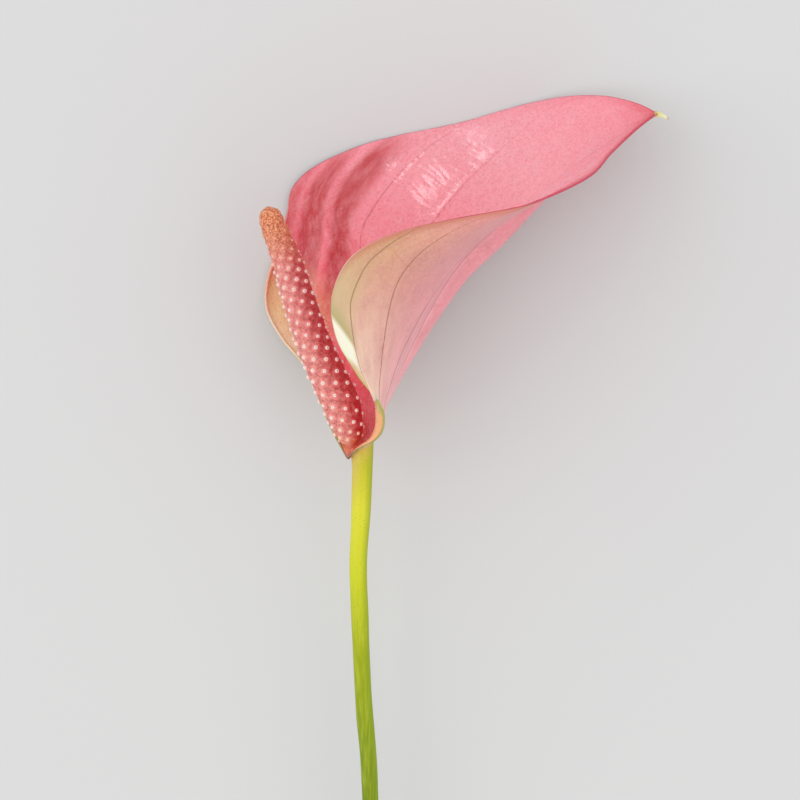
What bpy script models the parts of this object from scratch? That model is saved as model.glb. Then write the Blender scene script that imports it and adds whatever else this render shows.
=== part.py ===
# Cut anthurium stem, laid on a flat surface: the stem, the spathe (the coloured bract) and the spadix.
# Metres, +Z up. The stem runs along -Y, the flower's tip points to +X +Y, and the cup opens to -X +Y.

import bmesh
import bpy
from mathutils import Vector

MM = 0.001

# All lengths below are millimetres from the point where the stem, spathe and spadix meet.
SPATHE_THICKNESS = 0.8
SPATHE_ROWS = 32          # quads along the spathe, from its base to its tip
SPATHE_HALF_COLUMNS = 10  # quads across each half, from the midrib to the margin
DRIP_TIP = (84.0, 89.2, -11.3)  # the end of the spathe's thin green tip

STEM_SIDES = 14
STEM_TOP_SLOPE = 0.74     # the stem's top follows the slope of the spathe's base
STEM_CUT_SLOPE = 0.9      # its lower end was cut at about 42 degrees

# Each key point of the spathe: how far along it is from base (0) to tip (1), then X, Y and Z.
MIDRIB = [
    (0.00, -2.7, -2.2, 0.0), (0.06, -1.3, -1.2, 0.0), (0.13, 0.8, 0.2, 0.0), (0.20, 2.7, 1.8, 0.0),
    (0.28, 4.6, 5.4, -0.5), (0.36, 7.0, 11.9, -1.1), (0.45, 11.6, 23.0, -1.6), (0.54, 18.1, 36.0, -2.4),
    (0.63, 25.7, 48.4, -3.8), (0.72, 34.9, 58.0, -5.4), (0.81, 46.9, 67.6, -7.3), (0.90, 62.5, 79.3, -8.9),
    (1.00, 80.8, 90.9, -10.8),
]
NEAR_MARGIN = [
    (0.00, -3.4, -3.2, 0.9), (0.05, -0.3, -0.3, 5.9), (0.10, 3.6, 2.0, 9.2), (0.15, 5.8, 5.2, 11.3),
    (0.20, 6.2, 9.6, 13.5), (0.25, 3.8, 14.4, 15.7), (0.30, -0.9, 19.9, 18.4), (0.36, -5.9, 27.3, 22.1),
    (0.43, -8.0, 37.0, 25.4), (0.50, -6.1, 44.6, 27.8), (0.57, -1.1, 51.2, 28.9), (0.65, 10.0, 56.7, 28.6),
    (0.73, 25.3, 60.5, 26.5), (0.80, 41.3, 63.8, 22.7), (0.85, 52.3, 67.7, 18.9), (0.90, 62.6, 73.3, 13.0),
    (0.94, 67.8, 79.3, 5.4), (0.97, 74.2, 85.5, -3.2), (1.00, 80.8, 90.9, -10.8),
]
FAR_MARGIN = [
    (0.00, -3.4, -3.2, -0.9), (0.05, -5.2, 0.0, -3.8), (0.10, -7.7, 4.5, -7.6), (0.16, -11.6, 13.5, -12.2),
    (0.22, -16.0, 22.5, -16.2), (0.28, -21.7, 29.0, -20.5),
    (0.34, -26.1, 36.6, -23.8), (0.41, -26.3, 44.6, -26.0),
    (0.48, -23.1, 54.6, -27.0), (0.55, -20.4, 64.5, -26.2),
    (0.60, -19.0, 71.1, -25.4), (0.64, -14.8, 75.8, -25.2),
    (0.69, -4.1, 81.5, -25.6), (0.75, 10.8, 86.1, -26.4),
    (0.81, 26.8, 89.6, -27.0), (0.87, 43.9, 94.1, -26.5),
    (0.91, 56.5, 96.3, -23.8), (0.955, 69.5, 95.6, -18.4),
    (0.98, 76.6, 93.3, -14.0), (1.00, 80.8, 90.9, -10.8),
]
# How each rib bulges between the midrib and the margin: the belly is measured from the midrib and
# the shoulder from the margin.
NEAR_BELLY = [
    (0.00, 0.5, -0.3, 0.5), (0.10, 1.1, -1.1, 2.2), (0.20, 1.6, -2.2, 5.4), (0.30, 2.2, -2.2, 10.8),
    (0.45, 1.6, -1.4, 16.2), (0.60, 1.6, -1.4, 18.9), (0.80, 1.1, -1.1, 15.1), (1.00, 0.5, -0.3, 0.5),
]
NEAR_SHOULDER = [
    (0.00, 0.0, 0.0, 0.0), (0.08, -1.1, 1.1, -1.6), (0.15, -2.7, 0.5, -2.7), (0.22, -1.6, -0.5, 0.0),
    (0.30, 4.3, -1.1, 3.8), (0.40, 9.2, -3.2, 7.0), (0.50, 10.3, -4.3, 7.6), (0.65, 8.1, -5.9, 6.5),
    (0.80, 2.7, -2.2, 1.1), (0.90, -0.5, 1.1, -5.9), (1.00, -0.5, -0.5, 0.5),
]
FAR_BELLY = [
    (0.00, -0.3, 0.3, -0.5), (0.10, 0.5, 0.5, -2.2), (0.20, 1.1, -0.5, -4.9), (0.28, 1.1, -1.1, -6.5),
    (0.36, 3.8, -2.7, -8.1), (0.45, 8.6, -5.9, -9.2), (0.54, 12.4, -8.6, -9.7), (0.63, 15.1, -11.3, -9.7),
    (0.72, 14.6, -11.9, -8.6), (0.80, 9.2, -8.1, -7.0), (0.88, 2.2, -2.2, -4.9), (1.00, 0.5, 0.0, -0.5),
]
FAR_SHOULDER = [
    (0.00, 0.0, 0.0, 0.0), (0.10, 2.7, -1.6, 1.1), (0.20, 6.5, -4.3, 1.6), (0.30, 11.9, -6.5, 1.1),
    (0.45, 17.8, -10.8, 1.1), (0.60, 17.8, -14.0, 1.1), (0.80, 10.8, -11.9, 2.2), (0.92, 3.8, -4.3, 2.7),
    (1.00, -0.5, -0.5, 0.0),
]

# The spadix: X, Y and Z of its axis from base to tip, then the radius.
SPADIX = [
    (-1.9, 0.3, 0.3, 1.5), (-2.2, 1.4, 0.4, 2.7), (-2.9, 4.2, 0.6, 3.9), (-3.9, 7.9, 0.9, 4.8),
    (-5.2, 12.0, 1.2, 5.2), (-7.9, 18.6, 1.6, 5.1), (-11.1, 26.0, 2.1, 4.85), (-16.1, 39.4, 3.0, 4.5),
    (-19.0, 48.2, 3.5, 4.15), (-21.2, 54.4, 3.8, 3.85), (-23.1, 60.0, 4.0, 3.4), (-23.8, 62.4, 4.1, 2.9),
    (-24.2, 63.8, 4.1, 2.1), (-24.4, 64.6, 4.1, 0.9),
]

# The stem: X, Y and Z of its centre from the flower down to the cut end, then the radius.
STEM = [
    (0.7, -1.4, 0.0, 2.7), (0.7, -4.6, -0.1, 2.75), (0.6, -7.6, -0.4, 2.75), (0.2, -18.9, -1.4, 2.6),
    (-0.5, -31.9, -2.6, 2.4), (-0.1, -45.1, -3.8, 2.35), (0.4, -58.1, -5.0, 2.3), (1.1, -71.3, -6.2, 2.3),
    (2.2, -84.2, -7.4, 2.25), (2.7, -95.3, -8.4, 2.25),
    (3.5, -120.0, -10.6, 2.25), (4.4, -150.0, -13.2, 2.25),
    (5.0, -180.0, -15.7, 2.3), (5.2, -215.0, -18.5, 2.3),
    (4.8, -250.0, -21.2, 2.35), (3.9, -280.0, -23.7, 2.4),
    (3.1, -300.0, -25.15, 2.4),
]

SPATHE_COLOUR = (0.90, 0.33, 0.37)
SPADIX_COLOUR = (0.56, 0.09, 0.08)
STEM_COLOUR = (0.45, 0.50, 0.04)


def smooth_line(keys, at):
    """The point on the smooth curve through the key points, at the given share of its length."""
    count = len(keys)
    slopes = []
    for i in range(count):
        low, high = max(i - 1, 0), min(i + 1, count - 1)
        if low == i or high == i:
            slopes.append((Vector(keys[high][1:]) - Vector(keys[low][1:])) / (keys[high][0] - keys[low][0]))
            continue
        before, after = keys[i][0] - keys[low][0], keys[high][0] - keys[i][0]
        rise = (Vector(keys[i][1:]) - Vector(keys[low][1:])) / before
        fall = (Vector(keys[high][1:]) - Vector(keys[i][1:])) / after
        slopes.append((rise * after + fall * before) / (before + after))
    i = 0
    while i < count - 2 and at > keys[i + 1][0]:
        i += 1
    span = keys[i + 1][0] - keys[i][0]
    s = (at - keys[i][0]) / span
    start, end = Vector(keys[i][1:]), Vector(keys[i + 1][1:])
    return (
        start * (2 * s**3 - 3 * s**2 + 1)
        + slopes[i] * span * (s**3 - 2 * s**2 + s)
        + end * (3 * s**2 - 2 * s**3)
        + slopes[i + 1] * span * (s**3 - s**2)
    )


def rib_point(start, belly, shoulder, end, t):
    return (
        start * (1 - t) ** 3
        + belly * (3 * t * (1 - t) ** 2)
        + shoulder * (3 * t**2 * (1 - t))
        + end * t**3
    )


def new_material(name, colour, roughness):
    material = bpy.data.materials.new(name)
    material.use_nodes = True
    shader = material.node_tree.nodes["Principled BSDF"]
    shader.inputs["Base Color"].default_value = (*colour, 1)
    shader.inputs["Roughness"].default_value = roughness
    shader.inputs["Metallic"].default_value = 0
    return material


def new_tube(name, rows, sides, material):
    """A curve object through rows of X, Y, Z and radius in millimetres, closed at both ends."""
    curve = bpy.data.curves.new(name, "CURVE")
    curve.dimensions = "3D"
    curve.bevel_depth = MM
    curve.bevel_resolution = (sides - 4) // 2
    curve.use_fill_caps = True
    spline = curve.splines.new("POLY")
    spline.points.add(len(rows) - 1)
    for point, (x, y, z, radius) in zip(spline.points, rows):
        point.co = (x * MM, y * MM, z * MM, 1)
        point.radius = radius
    spline.use_smooth = True
    curve.materials.append(material)
    obj = bpy.data.objects.new(name, curve)
    flower.objects.link(obj)
    return obj


for obj in list(bpy.data.objects):
    bpy.data.objects.remove(obj)
flower = bpy.data.collections.new("anthurium_stem")
bpy.context.scene.collection.children.link(flower)

# The spathe is a loft: every rib has its own width, bulge and lean, so no primitive gives its shape.
# The sheet is laid rib by rib from the far margin over the midrib to the near margin.
shell = bmesh.new()
ribs = []
for row in range(SPATHE_ROWS + 1):
    at = row / SPATHE_ROWS
    middle = smooth_line(MIDRIB, at)
    rib = []
    for margin_keys, belly_keys, shoulder_keys in (
        (FAR_MARGIN, FAR_BELLY, FAR_SHOULDER),
        (NEAR_MARGIN, NEAR_BELLY, NEAR_SHOULDER),
    ):
        margin = smooth_line(margin_keys, at)
        belly = middle + smooth_line(belly_keys, at)
        shoulder = margin + smooth_line(shoulder_keys, at)
        half = [
            rib_point(middle, belly, shoulder, margin, column / SPATHE_HALF_COLUMNS)
            for column in range(SPATHE_HALF_COLUMNS + 1)
        ]
        rib = half[::-1] if not rib else rib + half[1:]
    ribs.append(rib)
tip = shell.verts.new(Vector(DRIP_TIP) * MM)
grid = [[shell.verts.new(point * MM) for point in rib] for rib in ribs[:-1]]
for lower, upper in zip(grid, grid[1:]):
    for column in range(len(lower) - 1):
        shell.faces.new((lower[column], lower[column + 1], upper[column + 1], upper[column]))
for left, right in zip(grid[-1], grid[-1][1:]):
    shell.faces.new((left, right, tip))
for face in shell.faces:
    face.smooth = True
spathe_mesh = bpy.data.meshes.new("spathe")
shell.to_mesh(spathe_mesh)
shell.free()
spathe_mesh.materials.append(new_material("spathe", SPATHE_COLOUR, 0.32))
spathe = bpy.data.objects.new("spathe", spathe_mesh)
flower.objects.link(spathe)
thickness = spathe.modifiers.new("thickness", "SOLIDIFY")
thickness.thickness = SPATHE_THICKNESS * MM
thickness.offset = 0

# The spadix is a blunt finger that stands on the spathe's base.
spadix = new_tube("spadix", SPADIX, 14, new_material("spadix", SPADIX_COLOUR, 0.45))

# The stem tapers away from the flower. Both its ends are slanted: the top one follows the spathe's
# base and the lower one is the cut.
stem_curve = new_tube("stem_curve", STEM, STEM_SIDES, new_material("stem", STEM_COLOUR, 0.4))
bpy.context.view_layer.update()
stem_mesh = bpy.data.meshes.new_from_object(stem_curve.evaluated_get(bpy.context.evaluated_depsgraph_get()))
bpy.data.objects.remove(stem_curve)
welded = bmesh.new()
welded.from_mesh(stem_mesh)
bmesh.ops.remove_doubles(welded, verts=welded.verts, dist=0.00001)
for (x, y, _, radius), slope in ((STEM[0], STEM_TOP_SLOPE), (STEM[-1], STEM_CUT_SLOPE)):
    for vert in welded.verts:
        if abs(vert.co.y - y * MM) < radius * MM * 0.5:
            vert.co.y += slope * (vert.co.x - x * MM)
welded.to_mesh(stem_mesh)
welded.free()
stem_mesh.name = "stem"
stem = bpy.data.objects.new("stem", stem_mesh)
flower.objects.link(stem)

# The origin is on the surface that the flower lies on, below the middle of its box.
bpy.context.view_layer.update()
graph = bpy.context.evaluated_depsgraph_get()
corners = []
for obj in (stem, spathe, spadix):
    evaluated = obj.evaluated_get(graph)
    corners += [obj.matrix_world @ vert.co for vert in evaluated.to_mesh().vertices]
    evaluated.to_mesh_clear()
lowest = Vector([min(corner[axis] for corner in corners) for axis in range(3)])
highest = Vector([max(corner[axis] for corner in corners) for axis in range(3)])
flower_at = (-(lowest.x + highest.x) / 2, -(lowest.y + highest.y) / 2, -lowest.z)
for obj in (stem, spathe, spadix):
    obj.location = flower_at
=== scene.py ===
import math

import bmesh
import bpy
import numpy as np
from mathutils import Matrix, Vector


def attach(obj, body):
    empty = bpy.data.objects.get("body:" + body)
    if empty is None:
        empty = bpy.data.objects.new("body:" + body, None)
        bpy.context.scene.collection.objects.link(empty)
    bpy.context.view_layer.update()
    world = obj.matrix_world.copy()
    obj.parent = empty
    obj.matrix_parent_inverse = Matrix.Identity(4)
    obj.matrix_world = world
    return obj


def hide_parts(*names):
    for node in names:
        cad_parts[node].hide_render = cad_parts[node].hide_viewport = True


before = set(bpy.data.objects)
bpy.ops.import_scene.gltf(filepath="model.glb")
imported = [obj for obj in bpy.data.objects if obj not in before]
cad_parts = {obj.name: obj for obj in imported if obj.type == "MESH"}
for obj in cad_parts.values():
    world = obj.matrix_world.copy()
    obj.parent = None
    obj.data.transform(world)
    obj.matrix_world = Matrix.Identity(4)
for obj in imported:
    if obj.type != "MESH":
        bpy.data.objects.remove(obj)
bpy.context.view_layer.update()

# Spathe: the large waxy bract, one leathery sheet that cups round the spadix. It grows out of the stem's
# top, its two lobes meet in a notch under the spadix, and its upper end runs out in a thin green tip.
MM = 0.001
FLOWER_AT = np.array((-28.657, 102.797, 27.485))  # millimetres to the point where all three pieces meet
SHEET_ROWS, SHEET_COLUMNS = 220, 130  # quads along the sheet and across it
SHEET_THICKNESS = 0.62

# Each key point: how far along the spathe from base (0) to tip (1), then X, Y and Z in millimetres.
MIDRIB = [
    (0.00, -2.7, -2.2, 0.0), (0.06, -1.3, -1.2, 0.0), (0.13, 0.8, 0.2, 0.0), (0.20, 2.7, 1.8, 0.0),
    (0.28, 4.6, 5.4, -0.5), (0.36, 7.0, 11.9, -1.1), (0.45, 11.6, 23.0, -1.6), (0.54, 18.1, 36.0, -2.4),
    (0.63, 25.7, 48.4, -3.8), (0.72, 34.9, 58.0, -5.4), (0.81, 46.9, 67.6, -7.3), (0.90, 62.5, 79.3, -8.9),
    (1.00, 80.8, 90.9, -10.8),
]
NEAR_MARGIN = [
    (0.00, -3.4, -3.2, 0.9), (0.05, -0.3, -0.3, 5.9), (0.10, 3.6, 2.0, 9.2), (0.15, 5.8, 5.2, 11.3),
    (0.20, 6.2, 9.6, 13.5), (0.25, 3.8, 14.4, 15.7), (0.30, -0.9, 19.9, 18.4), (0.36, -5.9, 27.3, 22.1),
    (0.43, -8.0, 37.0, 25.4), (0.50, -6.1, 44.6, 27.8), (0.57, -1.1, 51.2, 28.9), (0.65, 10.0, 56.7, 28.6),
    (0.73, 25.3, 60.5, 26.5), (0.80, 41.3, 63.8, 22.7), (0.85, 52.3, 67.7, 18.9), (0.90, 62.6, 73.3, 13.0),
    (0.94, 67.8, 79.3, 5.4), (0.97, 74.2, 85.5, -3.2), (1.00, 80.8, 90.9, -10.8),
]
FAR_MARGIN = [
    (0.00, -3.4, -3.2, -0.9), (0.05, -5.2, 0.0, -3.8), (0.10, -7.7, 4.5, -7.6), (0.16, -11.6, 13.5, -12.2),
    (0.22, -16.0, 22.5, -16.2), (0.28, -21.7, 29.0, -20.5),
    (0.34, -26.1, 36.6, -23.8), (0.41, -26.3, 44.6, -26.0),
    (0.48, -23.1, 54.6, -27.0), (0.55, -20.4, 64.5, -26.2),
    (0.60, -19.0, 71.1, -25.4), (0.64, -14.8, 75.8, -25.2),
    (0.69, -4.1, 81.5, -25.6), (0.75, 10.8, 86.1, -26.4),
    (0.81, 26.8, 89.6, -27.0), (0.87, 43.9, 94.1, -26.5),
    (0.91, 56.5, 96.3, -23.8), (0.955, 69.5, 95.6, -18.4),
    (0.98, 76.6, 93.3, -14.0), (1.00, 80.8, 90.9, -10.8),
]
# How each rib bulges between the midrib and the margin: the belly is measured from the midrib and
# the shoulder from the margin.
NEAR_BELLY = [
    (0.00, 0.5, -0.3, 0.5), (0.10, 1.1, -1.1, 2.2), (0.20, 1.6, -2.2, 5.4), (0.30, 2.2, -2.2, 10.8),
    (0.45, 1.6, -1.4, 16.2), (0.60, 1.6, -1.4, 18.9), (0.80, 1.1, -1.1, 15.1), (1.00, 0.5, -0.3, 0.5),
]
NEAR_SHOULDER = [
    (0.00, 0.0, 0.0, 0.0), (0.08, -1.1, 1.1, -1.6), (0.15, -2.7, 0.5, -2.7), (0.22, -1.6, -0.5, 0.0),
    (0.30, 4.3, -1.1, 3.8), (0.40, 9.2, -3.2, 7.0), (0.50, 10.3, -4.3, 7.6), (0.65, 8.1, -5.9, 6.5),
    (0.80, 2.7, -2.2, 1.1), (0.90, -0.5, 1.1, -5.9), (1.00, -0.5, -0.5, 0.5),
]
FAR_BELLY = [
    (0.00, -0.3, 0.3, -0.5), (0.10, 0.5, 0.5, -2.2), (0.20, 1.1, -0.5, -4.9), (0.28, 1.1, -1.1, -6.5),
    (0.36, 3.8, -2.7, -8.1), (0.45, 8.6, -5.9, -9.2), (0.54, 12.4, -8.6, -9.7), (0.63, 15.1, -11.3, -9.7),
    (0.72, 14.6, -11.9, -8.6), (0.80, 9.2, -8.1, -7.0), (0.88, 2.2, -2.2, -4.9), (1.00, 0.5, 0.0, -0.5),
]
FAR_SHOULDER = [
    (0.00, 0.0, 0.0, 0.0), (0.10, 2.7, -1.6, 1.1), (0.20, 6.5, -4.3, 1.6), (0.30, 11.9, -6.5, 1.1),
    (0.45, 17.8, -10.8, 1.1), (0.60, 17.8, -14.0, 1.1), (0.80, 10.8, -11.9, 2.2), (0.92, 3.8, -4.3, 2.7),
    (1.00, -0.5, -0.5, 0.0),
]

# Side veins, from the midrib outwards: how far along, then the share of the way to the margin.
FAR_VEINS = [
    [(0, 0.18), (0.20, 0.22), (0.45, 0.42), (0.69, 0.59), (0.77, 0.68), (0.85, 0.78), (0.95, 1.02)],
    [
        (0, 0.40), (0.20, 0.42), (0.45, 0.60), (0.60, 0.71), (0.65, 0.74), (0.70, 0.80), (0.75, 0.87),
        (0.80, 0.95), (0.86, 1.08),
    ],
    [
        (0, 0.60), (0.20, 0.62), (0.40, 0.75), (0.51, 0.81), (0.60, 0.83), (0.65, 0.885), (0.69, 0.94),
        (0.74, 1.02), (0.86, 1.14),
    ],
    [
        (0, 0.80), (0.20, 0.80), (0.40, 0.90), (0.545, 0.94), (0.60, 0.935), (0.655, 0.97), (0.70, 1.06),
        (0.86, 1.20),
    ],
]
NEAR_VEINS = [
    [(0, 0.25), (0.39, 0.25), (0.64, 0.24), (0.80, 0.35), (0.93, 0.80), (0.97, 1.05)],
    [
        (0, 0.45), (0.335, 0.43), (0.395, 0.45), (0.45, 0.49), (0.52, 0.57), (0.61, 0.66), (0.67, 0.74),
        (0.75, 0.88), (0.82, 1.05), (0.97, 1.15),
    ],
    [
        (0, 0.75), (0.36, 0.75), (0.42, 0.79), (0.465, 0.83), (0.53, 0.85), (0.60, 0.89), (0.66, 0.95),
        (0.72, 1.05), (0.82, 1.15), (0.97, 1.25),
    ],
]
# How far the last few millimetres of each margin roll over: how far along, then degrees towards the inside.
FAR_ROLL = [
    (0, 0), (0.10, 20), (0.20, 45), (0.36, 55), (0.46, 35), (0.56, 0), (0.70, -25), (0.90, -25), (1, 0)
]
NEAR_ROLL = [
    (0, 0), (0.08, -30), (0.16, -60), (0.24, -30), (0.32, 20), (0.45, 30), (0.60, 0), (0.75, -10), (1, 0)
]
FAR_ROLL_WIDTH, NEAR_ROLL_WIDTH = 2.0, 2.2
WIDEST_ROLL = 0.3  # of the rib's length, where the sheet is narrow
ROLL_EASE = 1.3  # above 1, the roll sets in later and ends more tightly
MARGIN_CROWDING = 1.25  # above 1, the columns of quads stand closer together towards the margins
LEAST_STRIP, OUTER_STRIP = 0.03, 0.12  # shares of a rib between two veins, and outside the last one


def smooth_line(keys, at):
    """Points of the smooth curve through the key points, at an array of shares of its length."""
    keys = np.array(keys, float)
    where, points = keys[:, 0], keys[:, 1:]
    step = np.diff(where)[:, None]
    rise = np.diff(points, axis=0) / step
    inner = (rise[:-1] * step[1:] + rise[1:] * step[:-1]) / (step[:-1] + step[1:])
    slopes = np.concatenate([rise[:1], inner, rise[-1:]])
    k = np.clip(np.searchsorted(where, at, side="right") - 1, 0, len(where) - 2)
    s = ((at - where[k]) / step[k, 0])[:, None]
    return (
        points[k] * (2 * s**3 - 3 * s**2 + 1)
        + slopes[k] * step[k] * (s**3 - 2 * s**2 + s)
        + points[k + 1] * (3 * s**2 - 2 * s**3)
        + slopes[k + 1] * step[k] * (s**3 - s**2)
    )


def half_sheet(margin_keys, belly_keys, shoulder_keys, roll_keys, roll_width, along, across, side):
    """One half of the sheet as rows of points, from the midrib (across 0) to the margin (across 1)."""
    middle, margin = smooth_line(MIDRIB, along)[:, None], smooth_line(margin_keys, along)[:, None]
    belly = middle + smooth_line(belly_keys, along)[:, None]
    shoulder = margin + smooth_line(shoulder_keys, along)[:, None]
    t = across[None, :, None]
    points = middle * (
        1 - t
    ) ** 3 + belly * 3 * t * (1 - t) ** 2 + shoulder * 3 * t**2 * (1 - t) + margin * t**3
    # Roll the margin: turn each point about the margin's own direction, more the closer it is to the edge.
    steps = np.linalg.norm(np.diff(points, axis=1), axis=2)
    to_edge = np.concatenate(
        [np.cumsum(steps[:, ::-1], axis=1)[:, ::-1], np.zeros((len(along), 1))], axis=1
    )
    width = np.minimum(roll_width, to_edge[:, :1] * WIDEST_ROLL)
    share = np.clip(1 - to_edge / np.maximum(width, 1e-6), 0, 1)
    hinge = np.array([
        [
            np.interp(width[i, 0], to_edge[i, ::-1], points[i, ::-1, k]) for k in range(3)
        ] for i in range(len(along))
    ])
    axis = np.gradient(hinge, axis=0)
    axis /= np.linalg.norm(axis, axis=1)[:, None] + 1e-9
    angle = side * np.radians(smooth_line(roll_keys, along)) * share**ROLL_EASE
    arm, axis = points - hinge[:, None], axis[:, None]
    turned = (
        arm * np.cos(angle)[..., None]
        + np.cross(np.broadcast_to(axis, arm.shape), arm) * np.sin(angle)[..., None]
        + axis * (arm * axis).sum(2, keepdims=True) * (1 - np.cos(angle))[..., None]
    )
    return np.where(share[..., None] > 0, hinge[:, None] + turned, points)


def vein_field(veins, along, across):
    """A number that is 0 on the midrib and 1, 2, 3... on the side veins, and the width of each strip."""
    lines = [np.zeros(len(along))] + [np.interp(along, *zip(*vein)) for vein in veins]
    for k in range(1, len(lines)):
        lines[k] = np.maximum(lines[k], lines[k - 1] + LEAST_STRIP)
    lines.append(np.maximum(lines[-1], 1) + OUTER_STRIP)
    lines = np.array(lines)
    number, share = np.zeros((len(along), len(across))), np.zeros((len(along), len(across)))
    for i in range(len(along)):
        number[i] = np.interp(across, lines[:, i], range(len(lines)))
        k = np.clip(number[i].astype(int), 0, len(lines) - 2)
        share[i] = lines[k + 1, i] - lines[k, i]
    return number, share


along = np.linspace(0, 1, SHEET_ROWS + 1)
across = 1 - (1 - np.linspace(0, 1, SHEET_COLUMNS // 2 + 1)) ** MARGIN_CROWDING
far = half_sheet(FAR_MARGIN, FAR_BELLY, FAR_SHOULDER, FAR_ROLL, FAR_ROLL_WIDTH, along, across, 1)
near = half_sheet(NEAR_MARGIN, NEAR_BELLY, NEAR_SHOULDER, NEAR_ROLL, NEAR_ROLL_WIDTH, along, across, -1)
sheet = np.concatenate([far[:, ::-1], near[:, 1:]], axis=1)
signed_across = np.concatenate([-across[::-1], across[1:]])
far_number, far_share = vein_field(FAR_VEINS, along, across)
near_number, near_share = vein_field(NEAR_VEINS, along, across)
vein_number = np.concatenate([far_number[:, ::-1], near_number[:, 1:]], axis=1)
vein_share = np.concatenate([far_share[:, ::-1], near_share[:, 1:]], axis=1)
rib_steps = np.linalg.norm(np.diff(sheet, axis=1), axis=2)
far_rib, near_rib = np.split(rib_steps, 2, axis=1)
far_length, near_length = far_rib.sum(1)[:, None], near_rib.sum(1)[:, None]
vein_gap = vein_share * np.where(signed_across[None] < 0, far_length, near_length)

# The lobe behind the spadix is folded: pale ridges on its outer veins and broad dark troughs between them.
# A fold is its height at vein numbers, below 0 in a trough, and its strength at places along the sheet.
RIDGE_ALONG = [(0.30, 0.4), (0.45, 1), (0.68, 0.8), (0.76, 0)]
FOLDS = [
    (
        [(2.20, 0), (2.50, -0.75), (2.90, -1), (2.97, 0)],
        [(0.38, 0), (0.50, 0.8), (0.60, 1), (0.70, 0.9), (0.76, 0)],
    ),
    (
        [(3.07, 0), (3.20, -1), (3.82, -1), (3.96, -0.3), (4.30, -0.6)],
        [(0.30, 0.3), (0.42, 1), (0.58, 1), (0.66, 0.7), (0.72, 0)],
    ),
    ([(2.00, 0), (2.06, 0.4), (2.25, 0)], RIDGE_ALONG),
    ([(2.90, 0), (3.03, 1), (3.18, 0)], RIDGE_ALONG),
    ([(3.92, 0), (4.00, 0.5), (4.08, 0)], RIDGE_ALONG),
]
FOLD_HEIGHT = 0.35
FOLD_STRIP = 6  # millimetres between two veins, from which a fold has its full height
# Between two veins the blade swells a little towards its upper face, so each vein lies in a shallow groove.
SWELL_ALONG = [(0.32, 0), (0.45, 1), (0.90, 1), (1.0, 0)]
SWELL_HEIGHT = 0.30
SWELL_STRIP = 12  # the same for a swell
REST_GAP = 0.08  # the resting margin's height over the floor
far_half = signed_across[None] < 0
fold = far_half * sum(
    np.interp(vein_number, *zip(*heights)) * np.interp(along, *zip(*strengths))[:, None]
    for heights, strengths in FOLDS
)
for _ in range(2):
    # Each point takes half its height from its neighbours, which softens a fold's edges.
    fold[1:-1] = fold[1:-1] / 2 + fold[:-2] / 4 + fold[2:] / 4
    fold[:, 1:-1] = fold[:, 1:-1] / 2 + fold[:, :-2] / 4 + fold[:, 2:] / 4
outward = np.cross(np.gradient(sheet, axis=1), np.gradient(sheet, axis=0))
outward /= np.linalg.norm(outward, axis=2, keepdims=True) + 1e-12
swells = (1 - (2 * (vein_number % 1) - 1) ** 2) * (vein_number < np.where(far_half, 2, 3))
swells *= np.interp(along, *zip(*SWELL_ALONG))[:, None]
lift = FOLD_HEIGHT * fold * np.clip(vein_gap / FOLD_STRIP, 0, 1)
lift += SWELL_HEIGHT * swells * np.clip(vein_gap / SWELL_STRIP, 0, 1)
sheet = sheet + outward * lift[..., None]
reach = np.concatenate([np.zeros((len(along), 1)), np.cumsum(rib_steps, axis=1)], axis=1)
to_edge = np.minimum(reach, reach[:, -1:] - reach)
# Where the margin rests, the surface flattens it.
sheet[..., 2] = np.maximum(sheet[..., 2], SHEET_THICKNESS / 2 + REST_GAP - FLOWER_AT[2])

bpy.ops.object.select_all(action="DESELECT")
bpy.ops.mesh.primitive_grid_add(x_subdivisions=SHEET_COLUMNS, y_subdivisions=SHEET_ROWS, size=0.1)
spathe = bpy.context.object
spathe.name = spathe.data.name = "spathe_sheet"
spathe.data.vertices.foreach_set("co", ((sheet + FLOWER_AT) * MM).reshape(-1))
row, column = np.divmod(np.arange((SHEET_ROWS + 1) * (SHEET_COLUMNS + 1)), SHEET_COLUMNS + 1)
loops = np.zeros(len(spathe.data.loops), np.int32)
spathe.data.loops.foreach_get("vertex_index", loops)
uv = np.stack([(signed_across[column] + 1) / 2, along[row]], axis=1)
spathe.data.uv_layers[0].data.foreach_set("uv", uv[loops].reshape(-1))
fields = {"vein_number": vein_number, "vein_gap": vein_gap, "fold": fold, "to_edge": to_edge}
for name, values in fields.items():
    spathe.data.attributes.new(name, "FLOAT", "POINT").data.foreach_set("value", values.reshape(-1))
spathe.data.update()

inner = bpy.data.materials.new("spathe waxy pink face")
back = bpy.data.materials.new("spathe satin beige face")
spathe.data.materials.append(inner)
spathe.data.materials.append(back)
bpy.ops.object.mode_set(mode="EDIT")
bpy.ops.mesh.select_all(action="SELECT")
bpy.ops.mesh.remove_doubles(threshold=0.002 * MM)
bpy.ops.object.mode_set(mode="OBJECT")
thickness = spathe.modifiers.new("thickness", "SOLIDIFY")
thickness.thickness = SHEET_THICKNESS * MM
thickness.offset = 0
thickness.material_offset = 1
bpy.ops.object.modifier_apply(modifier="thickness")
bpy.ops.object.shade_smooth()


def linear(hex_colour):
    """An sRGB hex value as linear red, green, blue and alpha."""
    parts = [int(hex_colour[i : i + 2], 16) / 255 for i in (1, 3, 5)]
    return (*[c / 12.92 if c <= 0.04045 else ((c + 0.055) / 1.055) ** 2.4 for c in parts], 1)


def per_mm(size):
    """The scale of a pattern on Object coordinates whose features are this many millimetres across."""
    return 1 / (size * MM)


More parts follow.
